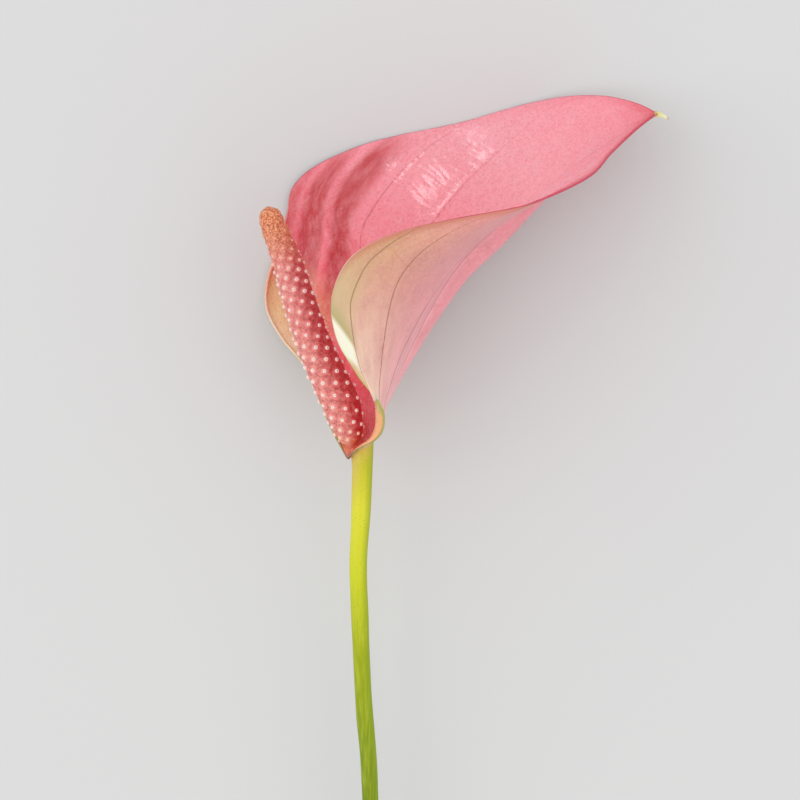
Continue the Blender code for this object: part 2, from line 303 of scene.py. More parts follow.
def add(tree, kind, inputs=None, stops=None, **settings):
    """Adds a node: its inputs are values, sockets or whole nodes, and its stops are a colour ramp's."""
    node = tree.nodes.new(kind)
    for key, value in settings.items():
        setattr(node, key, value)
    for key, value in (inputs or {}).items():
        if isinstance(value, bpy.types.Node):
            value = next(socket for socket in value.outputs if socket.enabled)
        if isinstance(value, bpy.types.NodeSocket):
            tree.links.new(value, node.inputs[key])
        else:
            node.inputs[key].default_value = value
    for i, (place, colour) in enumerate(stops or []):
        element = node.color_ramp.elements[i] if i < 2 else node.color_ramp.elements.new(place)
        element.position = place
        element.color = linear(colour) if isinstance(colour, str) else (colour,) * 3 + (1,)
    return node


def set_inputs(shader, values):
    """Sets the shader's own sockets."""
    for name, value in values.items():
        shader.inputs[name].default_value = value


def sheet_fields(tree):
    """What both faces read: place across and along, vein number and millimetres to the nearest vein."""
    uv = add(tree, "ShaderNodeUVMap", uv_map="UVMap").outputs[0]
    place = add(tree, "ShaderNodeSeparateXYZ", {0: uv})
    number = add(tree, "ShaderNodeAttribute", attribute_name="vein_number").outputs["Fac"]
    gap = add(tree, "ShaderNodeAttribute", attribute_name="vein_gap").outputs["Fac"]
    share = add(tree, "ShaderNodeMath", {0: number, 1: 0.5}, operation="PINGPONG")
    to_vein = add(tree, "ShaderNodeMath", {0: share, 1: gap}, operation="MULTIPLY")
    return place.outputs["X"], place.outputs["Y"], number, to_vein.outputs[0]


WIDEST_EDGE_LINE = 3.0  # millimetres, as a width of 1 in the ramps below


def edge_line(tree, x, y, colour):
    """The margin's own thin line: olive round the base, cream or peach on the lobes, dark pink above."""
    to_edge = add(tree, "ShaderNodeAttribute", attribute_name="to_edge").outputs["Fac"]
    near_side = add(tree, "ShaderNodeMath", {0: x, 1: 0.5}, operation="GREATER_THAN")
    far_width = add(tree, "ShaderNodeValToRGB", {0: y}, stops=[
        (0.02, 0.17), (0.08, 0.25), (0.18, 0.40), (0.36, 0.50), (0.43, 0.26), (0.54, 0.12),
    ])
    near_width = add(tree, "ShaderNodeValToRGB", {0: y}, stops=[
        (0.02, 0.17), (0.08, 0.20), (0.18, 0.32), (0.26, 0.80), (0.34, 0.80), (0.41, 0.28), (0.54, 0.12),
    ])
    width = add(tree, "ShaderNodeMix", {0: near_side, 6: far_width, 7: near_width}, data_type="RGBA")
    share = add(tree, "ShaderNodeMath", {0: to_edge, 1: width}, operation="DIVIDE")
    share = add(tree, "ShaderNodeMath", {0: share, 1: WIDEST_EDGE_LINE}, operation="DIVIDE")
    amount = add(tree, "ShaderNodeValToRGB", {0: share}, stops=[(0.60, 0.9), (1.0, 0.0)])
    near_line = add(tree, "ShaderNodeValToRGB", {0: y}, stops=[
        (0.0, "#7C3A22"), (0.06, "#8A8A34"), (0.20, "#A4B244"), (0.33, "#CCD470"), (0.38, "#F2F0C8"),
        (0.43, "#FAF4E0"), (0.52, "#F8DCC8"), (0.60, "#E0A090"), (0.74, "#C44460"), (1.0, "#CC3A50"),
    ])
    far_line = add(tree, "ShaderNodeValToRGB", {0: y}, stops=[
        (0.0, "#7C3A22"), (0.06, "#8A8A34"), (0.16, "#D8B880"), (0.30, "#FAD8B8"), (0.46, "#F2AE98"),
        (0.60, "#CC6A78"), (0.72, "#B25A70"), (1.0, "#C83C54"),
    ])
    line = add(tree, "ShaderNodeMix", {0: near_side, 6: far_line, 7: near_line}, data_type="RGBA")
    return add(tree, "ShaderNodeMix", {0: amount, 6: colour, 7: line}, data_type="RGBA").outputs[2]


# The upper face is living anthurium tissue under a thick wax cuticle: glossy, slightly translucent,
# coral pink with a redder throat, finely mottled and puckered between its veins.
inner.use_nodes = True
tree = inner.node_tree
shader = tree.nodes["Principled BSDF"]
x, y, number, to_vein = sheet_fields(tree)
place = add(tree, "ShaderNodeTexCoord").outputs["Object"]
length_colour = add(tree, "ShaderNodeValToRGB", {0: y}, stops=[
    (0.0, "#B8683A"), (0.04, "#F0884E"), (0.10, "#FF7060"), (0.30, "#FC5C6A"), (0.50, "#FA7282"),
    (0.64, "#FF8E9C"), (0.82, "#FFA8B4"), (0.95, "#FC94A4"), (1.0, "#DC5A62"),
])
# Lobe behind the spadix: painted shade, a deeper red, in the troughs, and a painted highlight, paler pink,
# on the ridges.
fold = add(tree, "ShaderNodeAttribute", attribute_name="fold").outputs["Fac"]
painted_trough_shade = add(tree, "ShaderNodeMapRange", {0: fold, 1: 0.0, 2: -0.65, 3: 0.0, 4: 0.95})
coral = add(tree, "ShaderNodeMix", {0: painted_trough_shade, 6: length_colour, 7: linear("#C2323A")}, data_type="RGBA")
# Painted highlight: paler pink along the ridges.
painted_ridge_highlight = add(tree, "ShaderNodeMapRange", {0: fold, 1: 0.1, 2: 0.9, 3: 0.0, 4: 0.75})
coral = add(tree, "ShaderNodeMix", {0: painted_ridge_highlight, 6: coral, 7: linear("#F8B0B2")}, data_type="RGBA")
# Fine mottling: pink flecks 2 mm wide and 4 mm long that follow the veins, and red specks 0.7 mm across.
run = add(
    tree, "ShaderNodeMapping",
    {0: add(tree, "ShaderNodeCombineXYZ", {0: number, 1: y}), "Scale": (7.0, 35.0, 1.0)},
)
coarse = add(tree, "ShaderNodeTexNoise", {"Vector": run, "Scale": 0.9, "Detail": 3.0, "Roughness": 0.6})
coarse_amount = add(tree, "ShaderNodeValToRGB", {0: coarse.outputs["Fac"]}, stops=[
    (0.40, 0.0), (0.72, 0.32),
])
near_fade = add(tree, "ShaderNodeMapRange", {0: x, 1: 0.48, 2: 0.56, 3: 1.0, 4: 0.1})
coarse_amount = add(tree, "ShaderNodeMath", {0: coarse_amount, 1: near_fade}, operation="MULTIPLY")
mottled = add(tree, "ShaderNodeMix", {0: coarse_amount, 6: coral, 7: linear("#FFB4BC")}, data_type="RGBA")
fine = add(
    tree, "ShaderNodeTexNoise", {"Vector": place, "Scale": per_mm(0.6667), "Detail": 2.0, "Roughness": 0.6}
)
fine_amount = add(tree, "ShaderNodeValToRGB", {0: fine.outputs["Fac"]}, stops=[(0.44, 0.0), (0.74, 0.34)])
speckled = add(tree, "ShaderNodeMix", {0: fine_amount, 6: mottled, 7: linear("#DB4655")}, data_type="RGBA")
# Side veins: thin darker lines 0.3 mm wide, lost in the folds and towards the tip.
vein_amount = add(tree, "ShaderNodeValToRGB", {0: to_vein}, stops=[(0.05, 0.5), (0.26, 0.0)])
far_out = add(tree, "ShaderNodeMapRange", {0: number, 1: 2.3, 2: 2.7, 3: 1.0, 4: 0.0})
vein_amount = add(tree, "ShaderNodeMath", {0: vein_amount, 1: far_out}, operation="MULTIPLY")
tip_fade = add(tree, "ShaderNodeMapRange", {0: y, 1: 0.70, 2: 0.85, 3: 1.0, 4: 0.3})
vein_amount = add(tree, "ShaderNodeMath", {0: vein_amount, 1: tip_fade}, operation="MULTIPLY")
veined = add(tree, "ShaderNodeMix", {0: vein_amount, 6: speckled, 7: linear("#C4485A")}, data_type="RGBA")
# The rolled margin near the tip is deeper pink for about 4 mm, and coral at the side of the lobe.
to_edge = add(tree, "ShaderNodeAttribute", attribute_name="to_edge").outputs["Fac"]
band = add(tree, "ShaderNodeMapRange", {0: to_edge, 1: 0.3, 2: 4.2, 3: 0.9, 4: 0.0})
band_side = add(tree, "ShaderNodeValToRGB", {0: x}, stops=[(0.0, 0.25), (0.4, 0.25), (0.6, 1.0)])
band_along = add(tree, "ShaderNodeValToRGB", {0: y}, stops=[
    (0.46, 0.0), (0.56, 0.8), (0.64, 0.3), (0.74, 0.6), (0.86, 1.0),
])
band = add(tree, "ShaderNodeMath", {0: band, 1: band_side}, operation="MULTIPLY")
band = add(tree, "ShaderNodeMath", {0: band, 1: band_along}, operation="MULTIPLY")
band_colour = add(tree, "ShaderNodeValToRGB", {0: y}, stops=[
    (0.50, "#DC6052"), (0.64, "#E0586A"), (1.0, "#DC4660"),
])
veined = add(tree, "ShaderNodeMix", {0: band, 6: veined, 7: band_colour}, data_type="RGBA")
# The far lobe fades to yellow and orange behind the spadix, where the tissue is still green.
lobe_across = add(tree, "ShaderNodeValToRGB", {0: x}, stops=[(0.0, 1.0), (0.10, 0.85), (0.20, 0.0)])
lobe_along = add(tree, "ShaderNodeValToRGB", {0: y}, stops=[
    (0.03, 0.5), (0.12, 1.0), (0.42, 1.0), (0.50, 0.0),
])
lobe_colour = add(tree, "ShaderNodeValToRGB", {0: y}, stops=[
    (0.10, "#EC9A62"), (0.27, "#FFE2BC"), (0.36, "#F2CC98"), (0.46, "#E49A6C"),
])
lobe_mask = add(tree, "ShaderNodeMath", {0: lobe_across, 1: lobe_along}, operation="MULTIPLY")
lobed = add(tree, "ShaderNodeMix", {0: lobe_mask, 6: veined, 7: lobe_colour}, data_type="RGBA")
# The near lobe's turned-out flare beside the spadix fades from red to peach: partly its own colour, partly
# a painted highlight where the flare turns towards the light.
flare_across = add(tree, "ShaderNodeValToRGB", {0: x}, stops=[(0.68, 0.0), (0.74, 1.0)])
flare_peach_highlight = add(tree, "ShaderNodeValToRGB", {0: x}, stops=[
    (0.72, "#FF6246"), (0.80, "#F09A70"), (0.88, "#EFB07C"),
])
flare_along = add(tree, "ShaderNodeValToRGB", {0: y}, stops=[
    (0.02, 0.0), (0.08, 0.8), (0.22, 1.0), (0.34, 0.0),
])
flare_mask = add(tree, "ShaderNodeMath", {0: flare_across, 1: flare_along}, operation="MULTIPLY")
lobed = add(tree, "ShaderNodeMix", {0: flare_mask, 6: lobed, 7: flare_peach_highlight}, data_type="RGBA")
edged = edge_line(tree, x, y, lobed)
tree.links.new(edged, shader.inputs["Base Color"])
# Puckers 2.4 mm across between the veins, and a fine cell grain, both shallow.
pucker = add(
    tree, "ShaderNodeTexVoronoi", {"Vector": place, "Scale": per_mm(2.381), "Smoothness": 0.6},
    feature="SMOOTH_F1",
)
grain = add(tree, "ShaderNodeTexNoise", {"Vector": place, "Scale": per_mm(0.7692), "Detail": 2.0})
heights = add(
    tree, "ShaderNodeMath", {0: pucker.outputs["Distance"], 1: 1.0, 2: grain.outputs["Fac"]},
    operation="MULTIPLY_ADD",
)
bump = add(tree, "ShaderNodeBump", {"Height": heights, "Strength": 0.8, "Distance": 0.0005})
tree.links.new(bump.outputs[0], shader.inputs["Normal"])
# The wax lies in small wrinkles across the veins, 2.7 mm long and 0.8 mm apart, which break up reflections.
across_veins = add(
    tree, "ShaderNodeMapping",
    {0: add(tree, "ShaderNodeCombineXYZ", {0: number, 1: y}), "Scale": (4.5, 170.0, 1.0)},
)
wrinkle = add(
    tree, "ShaderNodeTexVoronoi", {"Vector": across_veins, "Scale": 1.0, "Smoothness": 0.7},
    feature="SMOOTH_F1",
)
wax_bump = add(
    tree, "ShaderNodeBump", {"Height": wrinkle.outputs["Distance"], "Strength": 1.0, "Distance": 0.000028}
)
tree.links.new(wax_bump.outputs[0], shader.inputs["Coat Normal"])
set_inputs(shader, {
    "Roughness": 0.42, "IOR": 1.45, "Coat Weight": 0.6, "Coat Roughness": 0.09, "Subsurface Weight": 0.3,
    "Subsurface Radius": (1.0, 0.35, 0.3), "Subsurface Scale": 0.0015,
})

# The lower face has no red pigment near its margin, so it goes from olive beige through peach to pink
# at the midrib, with thin brown-pink veins and a satin wax bloom.
back.use_nodes = True
tree = back.node_tree
shader = tree.nodes["Principled BSDF"]
x, y, number, to_vein = sheet_fields(tree)
place = add(tree, "ShaderNodeTexCoord").outputs["Object"]
from_midrib = add(tree, "ShaderNodeMath", {0: x, 1: 0.5}, operation="SUBTRACT")
from_midrib = add(tree, "ShaderNodeMath", {0: from_midrib}, operation="ABSOLUTE")
width_colour = add(tree, "ShaderNodeValToRGB", {0: from_midrib}, stops=[
    (0.0, "#F6B4BC"), (0.02, "#F09AA8"), (0.10, "#EE9CA6"), (0.20, "#DE9496"), (0.32, "#D89C88"),
    (0.42, "#D2A07A"), (0.5, "#C89A68"),
])
base_colour = add(tree, "ShaderNodeValToRGB", {0: from_midrib}, stops=[
    (0.0, "#FFBEC4"), (0.12, "#FCBEC0"), (0.22, "#F6D0BE"), (0.34, "#F2D8C0"), (0.48, "#ECCCA8"),
])
up = add(tree, "ShaderNodeValToRGB", {0: y}, stops=[(0.30, 0.0), (0.56, 1.0)])
body = add(tree, "ShaderNodeMix", {0: up, 6: base_colour, 7: width_colour}, data_type="RGBA")
tip_pink = add(tree, "ShaderNodeValToRGB", {0: y}, stops=[(0.62, 0.0), (0.80, 0.85)])
body = add(tree, "ShaderNodeMix", {0: tip_pink, 6: body, 7: linear("#EA8E9C")}, data_type="RGBA")
run = add(
    tree, "ShaderNodeMapping",
    {0: add(tree, "ShaderNodeCombineXYZ", {0: number, 1: y}), "Scale": (5.0, 22.0, 1.0)},
)
cloud = add(tree, "ShaderNodeTexNoise", {"Vector": run, "Scale": 0.7, "Detail": 4.0, "Roughness": 0.65})
cloud_amount = add(tree, "ShaderNodeValToRGB", {0: cloud.outputs["Fac"]}, stops=[(0.40, 0.0), (0.72, 0.52)])
clouded = add(tree, "ShaderNodeMix", {0: cloud_amount, 6: body, 7: linear("#C77F80")}, data_type="RGBA")
fine = add(
    tree, "ShaderNodeTexNoise", {"Vector": place, "Scale": per_mm(0.7692), "Detail": 2.0, "Roughness": 0.6}
)
fine_amount = add(tree, "ShaderNodeValToRGB", {0: fine.outputs["Fac"]}, stops=[(0.40, 0.0), (0.75, 0.25)])
clouded = add(tree, "ShaderNodeMix", {0: fine_amount, 6: clouded, 7: linear("#F3C9B8")}, data_type="RGBA")
# Net veins: faint lines in patches, between irregular cells about 9 mm across.
warp = add(tree, "ShaderNodeTexNoise", {"Vector": place, "Scale": per_mm(6.667), "Detail": 2.0})
bent = add(tree, "ShaderNodeMix", {0: 0.006, 4: place, 5: warp.outputs["Color"]}, data_type="VECTOR")
net = add(
    tree, "ShaderNodeTexVoronoi", {"Vector": bent, "Scale": per_mm(9.091)}, feature="DISTANCE_TO_EDGE"
)
net_fade = add(tree, "ShaderNodeTexNoise", {"Vector": place, "Scale": per_mm(16.67), "Detail": 1.0})
net_amount = add(tree, "ShaderNodeValToRGB", {0: net.outputs["Distance"]}, stops=[(0.0, 0.2), (0.04, 0.0)])
net_patch = add(tree, "ShaderNodeValToRGB", {0: net_fade.outputs["Fac"]}, stops=[(0.42, 0.0), (0.60, 0.7)])
net_amount = add(tree, "ShaderNodeMath", {0: net_amount, 1: net_patch}, operation="MULTIPLY")
netted = add(tree, "ShaderNodeMix", {0: net_amount, 6: clouded, 7: linear("#A8645C")}, data_type="RGBA")
# Outside the last vein the near lobe is olive grey, with a painted highlight in one slanting cream patch
# with a green upper edge.
olive_across = add(tree, "ShaderNodeValToRGB", {0: x}, stops=[(0.87, 0.0), (0.93, 0.6), (1.0, 0.8)])
olive_along = add(tree, "ShaderNodeValToRGB", {0: y}, stops=[
    (0.30, 0.0), (0.40, 1.0), (0.48, 1.0), (0.60, 0.0),
])
olive_mask = add(tree, "ShaderNodeMath", {0: olive_across, 1: olive_along}, operation="MULTIPLY")
netted = add(tree, "ShaderNodeMix", {0: olive_mask, 6: netted, 7: linear("#C6B284")}, data_type="RGBA")
slant = add(tree, "ShaderNodeMath", {0: x, 1: -0.357, 2: y}, operation="MULTIPLY_ADD")
cream_below = add(tree, "ShaderNodeMapRange", {0: slant, 1: 0.056, 2: 0.070, 3: 1.0, 4: 0.0})
cream_above = add(tree, "ShaderNodeMapRange", {0: y, 1: 0.326, 2: 0.346, 3: 0.0, 4: 1.0})
cream_across = add(tree, "ShaderNodeMapRange", {0: x, 1: 0.86, 2: 0.90, 3: 0.0, 4: 1.0})
green_edge = add(tree, "ShaderNodeValToRGB", {0: slant}, stops=[(0.056, 0.0), (0.072, 0.6), (0.105, 0.0)])
green_edge = add(tree, "ShaderNodeMath", {0: green_edge, 1: cream_across}, operation="MULTIPLY")
netted = add(tree, "ShaderNodeMix", {0: green_edge, 6: netted, 7: linear("#A2A864")}, data_type="RGBA")
# Painted highlight: the slanting cream patch near the margin.
painted_cream_highlight = add(tree, "ShaderNodeMath", {0: cream_below, 1: cream_above}, operation="MULTIPLY")
painted_cream_highlight = add(tree, "ShaderNodeMath", {0: painted_cream_highlight, 1: cream_across}, operation="MULTIPLY")
netted = add(tree, "ShaderNodeMix", {0: painted_cream_highlight, 6: netted, 7: linear("#F5F0DA")}, data_type="RGBA")
vein_colour = add(tree, "ShaderNodeValToRGB", {0: from_midrib}, stops=[
    (0.05, "#B0606A"), (0.25, "#9A5A48"), (0.42, "#8A6A38"),
])
vein_amount = add(tree, "ShaderNodeValToRGB", {0: to_vein}, stops=[(0.10, 0.85), (0.32, 0.0)])
vein_fade = add(tree, "ShaderNodeValToRGB", {0: y}, stops=[(0.0, 1.0), (0.66, 0.8), (0.80, 0.15)])
vein_amount = add(tree, "ShaderNodeMath", {0: vein_amount, 1: vein_fade}, operation="MULTIPLY")
veined = add(tree, "ShaderNodeMix", {0: vein_amount, 6: netted, 7: vein_colour}, data_type="RGBA")
# A coral brown band about 2 mm wide runs under the near lobe's upper margin.
to_edge = add(tree, "ShaderNodeAttribute", attribute_name="to_edge").outputs["Fac"]
band = add(tree, "ShaderNodeMapRange", {0: to_edge, 1: 0.4, 2: 2.6, 3: 0.75, 4: 0.0})
band_along = add(tree, "ShaderNodeValToRGB", {0: y}, stops=[(0.48, 0.0), (0.58, 1.0)])
band = add(tree, "ShaderNodeMath", {0: band, 1: band_along}, operation="MULTIPLY")
veined = add(tree, "ShaderNodeMix", {0: band, 6: veined, 7: linear("#C8785C")}, data_type="RGBA")
edged = edge_line(tree, x, y, veined)
tree.links.new(edged, shader.inputs["Base Color"])
grain = add(tree, "ShaderNodeTexNoise", {"Vector": place, "Scale": per_mm(1.111), "Detail": 3.0})
bump = add(tree, "ShaderNodeBump", {"Height": grain.outputs["Fac"], "Strength": 0.25, "Distance": 0.0002})
tree.links.new(bump.outputs[0], shader.inputs["Normal"])
set_inputs(shader, {
    "Roughness": 0.42, "IOR": 1.45, "Coat Weight": 0.2, "Coat Roughness": 0.25, "Subsurface Weight": 0.3,
    "Subsurface Radius": (1.0, 0.5, 0.4), "Subsurface Scale": 0.0015,
})

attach(spathe, "root")
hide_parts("spathe")

# Drip tip: the midrib runs on past the blade as a thin, dry, yellow-green point about 4 mm long.
TIP_FROM, TIP_TO = np.array((80.0, 90.6, -10.6)), np.array((84.0, 89.3, -11.3))
TIP_BASE_RADIUS, TIP_END_RADIUS, TIP_LENGTH = 0.9, 0.3, 4.6
TIP_BOW, TIP_FLATNESS = 0.35, 0.7

bpy.ops.object.select_all(action="DESELECT")
bpy.ops.mesh.primitive_cone_add(
    vertices=14, radius1=TIP_BASE_RADIUS * MM, radius2=TIP_END_RADIUS * MM, depth=TIP_LENGTH * MM
)
drip_tip = bpy.context.object
drip_tip.name = drip_tip.data.name = "spathe_drip_tip"
bpy.ops.object.mode_set(mode="EDIT")
bpy.ops.mesh.select_all(action="SELECT")
bpy.ops.mesh.subdivide(number_cuts=5)
bpy.ops.object.mode_set(mode="OBJECT")
line = (TIP_TO - TIP_FROM) / np.linalg.norm(TIP_TO - TIP_FROM)
sideways = np.cross(line, (0, 0, 1.0))
sideways /= np.linalg.norm(sideways)
upward = np.cross(sideways, line)
for vert in drip_tip.data.vertices:
    s = vert.co.z / (TIP_LENGTH * MM) + 0.5
    spot = TIP_FROM + (TIP_TO - TIP_FROM) * s + np.array((0, TIP_BOW, 0)) * math.sin(math.pi * s)
    spot = spot + sideways * vert.co.x / MM + upward * vert.co.y / MM * TIP_FLATNESS
    vert.co = Vector((spot + FLOWER_AT) * MM)
bpy.ops.object.shade_smooth()
tip_skin = bpy.data.materials.new("drip tip yellow-green")
tip_skin.use_nodes = True
tree = tip_skin.node_tree
shader = tree.nodes["Principled BSDF"]
place = add(tree, "ShaderNodeTexCoord").outputs["Object"]
split = add(tree, "ShaderNodeSeparateXYZ", {0: place})
TIP_FROM_X, TIP_TO_X = 0.0514, 0.0554  # metres in the frame
share = add(tree, "ShaderNodeMapRange", {0: split.outputs["X"], 1: TIP_FROM_X, 2: TIP_TO_X})
tip_colour = add(tree, "ShaderNodeValToRGB", {0: share}, stops=[
    (0.0, "#C8A060"), (0.3, "#E0DA88"), (0.8, "#EEEBC4"), (1.0, "#BCA860"),
])
tree.links.new(tip_colour.outputs[0], shader.inputs["Base Color"])
shader.inputs["Roughness"].default_value = 0.45
drip_tip.data.materials.append(tip_skin)
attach(drip_tip, "root")
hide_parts("spathe")

# Spadix: the fleshy spike. Its axis is packed with small flowers in whorls of four, each whorl turned
# from the one below, and each flower is a cushion of four tepals round one pale ring-shaped stigma.
SPADIX = [  # X, Y and Z of its axis from base to tip, then the radius, in millimetres
    (-1.9, 0.3, 0.3, 1.5), (-2.2, 1.4, 0.4, 2.7), (-2.9, 4.2, 0.6, 3.9), (-3.9, 7.9, 0.9, 4.8),
    (-5.2, 12.0, 1.2, 5.2), (-8.3, 18.6, 1.6, 5.1), (-11.6, 26.0, 2.1, 4.85), (-16.3, 39.4, 3.0, 4.5),
    (-19.0, 48.2, 3.5, 4.15), (-21.2, 54.4, 3.8, 3.85), (-23.5, 60.0, 4.0, 3.45), (-24.2, 62.4, 4.1, 3.1),
    (-24.6, 63.8, 4.1, 2.5), (-24.8, 64.8, 4.1, 1.2),
]
WHORL_STEP = 1.24  # millimetres from one whorl to the next where the spike is 4.5 mm in radius
STEP_RADIUS, LEAST_STEP_RADIUS = 4.5, 2.2
WHORL_TURN = 35.15  # degrees from one whorl to the next
FLOWERS_IN_WHORL = 4
CUSHION_HEIGHT = 0.22
FULL_RADIUS = 4.0  # below this radius the flowers are smaller
SKIN_INSET = 0.2  # the seams between the cushions lie this far inside the spike's radius
END_ROUNDING = 2.5  # millimetres over which each end rounds off
SPADIX_SIDES, SPADIX_RINGS = 112, 300
AXIS_SAMPLES = 600
PAINTED_LIGHT_WAY = (-0.85, -0.15, 0.5)  # the way painted as lit: the spike's side facing it is painted paler, the other side darker

spine = np.array(SPADIX, float)
lengths = np.concatenate([[0], np.cumsum(np.linalg.norm(np.diff(spine[:, :3], axis=0), axis=1))])
spine_keys = np.column_stack([lengths / lengths[-1], spine])


def spadix_frame(at):
    """The axis point, radius, direction and two square directions of the spike at shares of its length."""
    values = smooth_line(spine_keys, at)
    ahead = smooth_line(
        spine_keys, np.clip(at + 0.01, 0, 1)
    ) - smooth_line(spine_keys, np.clip(at - 0.01, 0, 1))
    direction = ahead[:, :3] / np.linalg.norm(ahead[:, :3], axis=1)[:, None]
    across_way = np.cross(direction, (0, 0, 1.0))
    across_way /= np.linalg.norm(across_way, axis=1)[:, None]
    return values[:, :3], values[:, 3], direction, across_way, np.cross(across_way, direction)


fine_at = np.linspace(0, 1, AXIS_SAMPLES)
fine_radius = np.clip(smooth_line(spine_keys, fine_at)[:, 3], LEAST_STEP_RADIUS, None)
fine_step = lengths[-1] / (AXIS_SAMPLES - 1)
whorls_at = np.concatenate([[0], np.cumsum(fine_step / (WHORL_STEP * fine_radius[1:] / STEP_RADIUS))])


def cushion(at, angle):
    """Height of the flower cushions at a share of the length and an angle in degrees."""
    # Two families of waves wind round the spike, and their crests cross on the flowers.
    whorl = np.interp(at, fine_at, whorls_at)
    quarter = 360 / FLOWERS_IN_WHORL
    steep = ((quarter - 2 * WHORL_TURN) * whorl + 2 * angle) / quarter
    flat = (WHORL_TURN * whorl - angle) / quarter
    return CUSHION_HEIGHT * (0.5 + 0.5 * np.cos(2 * np.pi * steep)) * (0.5 + 0.5 * np.cos(2 * np.pi * flat))


bpy.ops.object.select_all(action="DESELECT")
bpy.ops.mesh.primitive_uv_sphere_add(segments=SPADIX_SIDES, ring_count=SPADIX_RINGS, radius=1)
spadix = bpy.context.object
spadix.name = spadix.data.name = "spadix_spike"
ball = np.zeros(len(spadix.data.vertices) * 3)
spadix.data.vertices.foreach_get("co", ball)
ball = ball.reshape(-1, 3)
angle = np.degrees(np.arctan2(ball[:, 1], ball[:, 0]))
at = np.arccos(np.clip(-ball[:, 2], -1, 1)) / math.pi
centre, radius, direction, across_way, up_way = spadix_frame(at)
pole = np.clip(np.minimum(at, 1 - at) * lengths[-1] / END_ROUNDING, 0, 1)
body_radius = radius * np.sqrt(np.clip(1 - (1 - pole) ** 2, 0, 1)) ** 0.5
height = cushion(at, angle) * pole * np.clip(radius / FULL_RADIUS, 0.3, 1)
turn = np.radians(angle)[:, None]
out_way = across_way * np.cos(turn) + up_way * np.sin(turn)
skin = centre + out_way * (body_radius - SKIN_INSET + height)[:, None].clip(0)
spadix.data.vertices.foreach_set("co", ((skin + FLOWER_AT) * MM).reshape(-1))
# painted_light_side: how far each point faces the way painted as lit
fields = {"painted_light_side": out_way @ np.array(PAINTED_LIGHT_WAY), "up_spike": at, "cushion": height / CUSHION_HEIGHT}
for name, values in fields.items():
    spadix.data.attributes.new(name, "FLOAT", "POINT").data.foreach_set("value", values)
spadix.data.update()
bpy.ops.object.mode_set(mode="EDIT")
bpy.ops.mesh.select_all(action="SELECT")
bpy.ops.mesh.normals_make_consistent(inside=False)
bpy.ops.object.mode_set(mode="OBJECT")
bpy.ops.object.shade_smooth()

# Fleshy tissue with a thin wax skin: dark red in the seams, salmon on the cushions, tan at the young end.
flesh = bpy.data.materials.new("spadix red flesh")
flesh.use_nodes = True
tree = flesh.node_tree
shader = tree.nodes["Principled BSDF"]
place = add(tree, "ShaderNodeTexCoord").outputs["Object"]
spike = add(tree, "ShaderNodeAttribute", attribute_name="up_spike").outputs["Fac"]
swell = add(tree, "ShaderNodeAttribute", attribute_name="cushion").outputs["Fac"]
seam_colour = add(tree, "ShaderNodeValToRGB", {0: spike}, stops=[
    (0.0, "#E0703A"), (0.05, "#B8343A"), (0.78, "#BA3E48"), (0.90, "#A85238"), (1.0, "#A86040"),
])
top_colour = add(tree, "ShaderNodeValToRGB", {0: spike}, stops=[
    (0.0, "#EE9058"), (0.06, "#DC5250"), (0.60, "#E26A6E"), (0.80, "#E27872"), (0.90, "#DE8656"),
    (1.0, "#D68A5A"),
])
swollen = add(tree, "ShaderNodeValToRGB", {0: swell}, stops=[(0.02, 0.0), (0.45, 1.0)])
flesh_colour = add(tree, "ShaderNodeMix", {0: swollen, 6: seam_colour, 7: top_colour}, data_type="RGBA")
blotch = add(
    tree, "ShaderNodeTexNoise", {"Vector": place, "Scale": per_mm(1.111), "Detail": 3.0, "Roughness": 0.65}
)
blotch_amount = add(tree, "ShaderNodeValToRGB", {0: blotch.outputs["Fac"]}, stops=[
    (0.42, 0.0), (0.72, 0.65),
])
flesh_colour = add(
    tree, "ShaderNodeMix", {0: blotch_amount, 6: flesh_colour, 7: linear("#F0A398")}, data_type="RGBA"
)
# Painted light: the side towards the left lamp gets a painted highlight, a pale salmon broken into fine
# specks, and the other side gets painted shade, a darker red.
side = add(tree, "ShaderNodeAttribute", attribute_name="painted_light_side").outputs["Fac"]
# Painted shade: a darker red on the side away from the light.
painted_side_shade = add(tree, "ShaderNodeMapRange", {0: side, 1: 0.30, 2: -0.40, 3: 0.0, 4: 0.55})
flesh_colour = add(
    tree, "ShaderNodeMix", {0: painted_side_shade, 6: flesh_colour, 7: linear("#B82A2E")}, data_type="RGBA"
)
specks = add(
    tree, "ShaderNodeTexNoise", {"Vector": place, "Scale": per_mm(0.5263), "Detail": 2.0, "Roughness": 0.6}
)
speck_amount = add(
    tree, "ShaderNodeMapRange", {0: specks.outputs["Fac"], 1: 0.38, 2: 0.62, 3: 0.25, 4: 1.0}
)
# Painted highlight: pale salmon specks on the side painted as lit, mostly on the cushions and faded at the
# young end.
painted_side_highlight = add(tree, "ShaderNodeMapRange", {0: side, 1: 0.15, 2: 0.90, 3: 0.0, 4: 0.85})
painted_side_highlight = add(tree, "ShaderNodeMath", {0: painted_side_highlight, 1: speck_amount}, operation="MULTIPLY")
on_cushion = add(tree, "ShaderNodeMapRange", {0: swell, 1: 0.0, 2: 0.5, 3: 0.6, 4: 1.0})
painted_side_highlight = add(tree, "ShaderNodeMath", {0: painted_side_highlight, 1: on_cushion}, operation="MULTIPLY")
young = add(tree, "ShaderNodeMapRange", {0: spike, 1: 0.76, 2: 0.92, 3: 1.0, 4: 0.15})
painted_side_highlight = add(tree, "ShaderNodeMath", {0: painted_side_highlight, 1: young}, operation="MULTIPLY")
flesh_colour = add(
    tree, "ShaderNodeMix", {0: painted_side_highlight, 6: flesh_colour, 7: linear("#FAB4A6")}, data_type="RGBA"
)
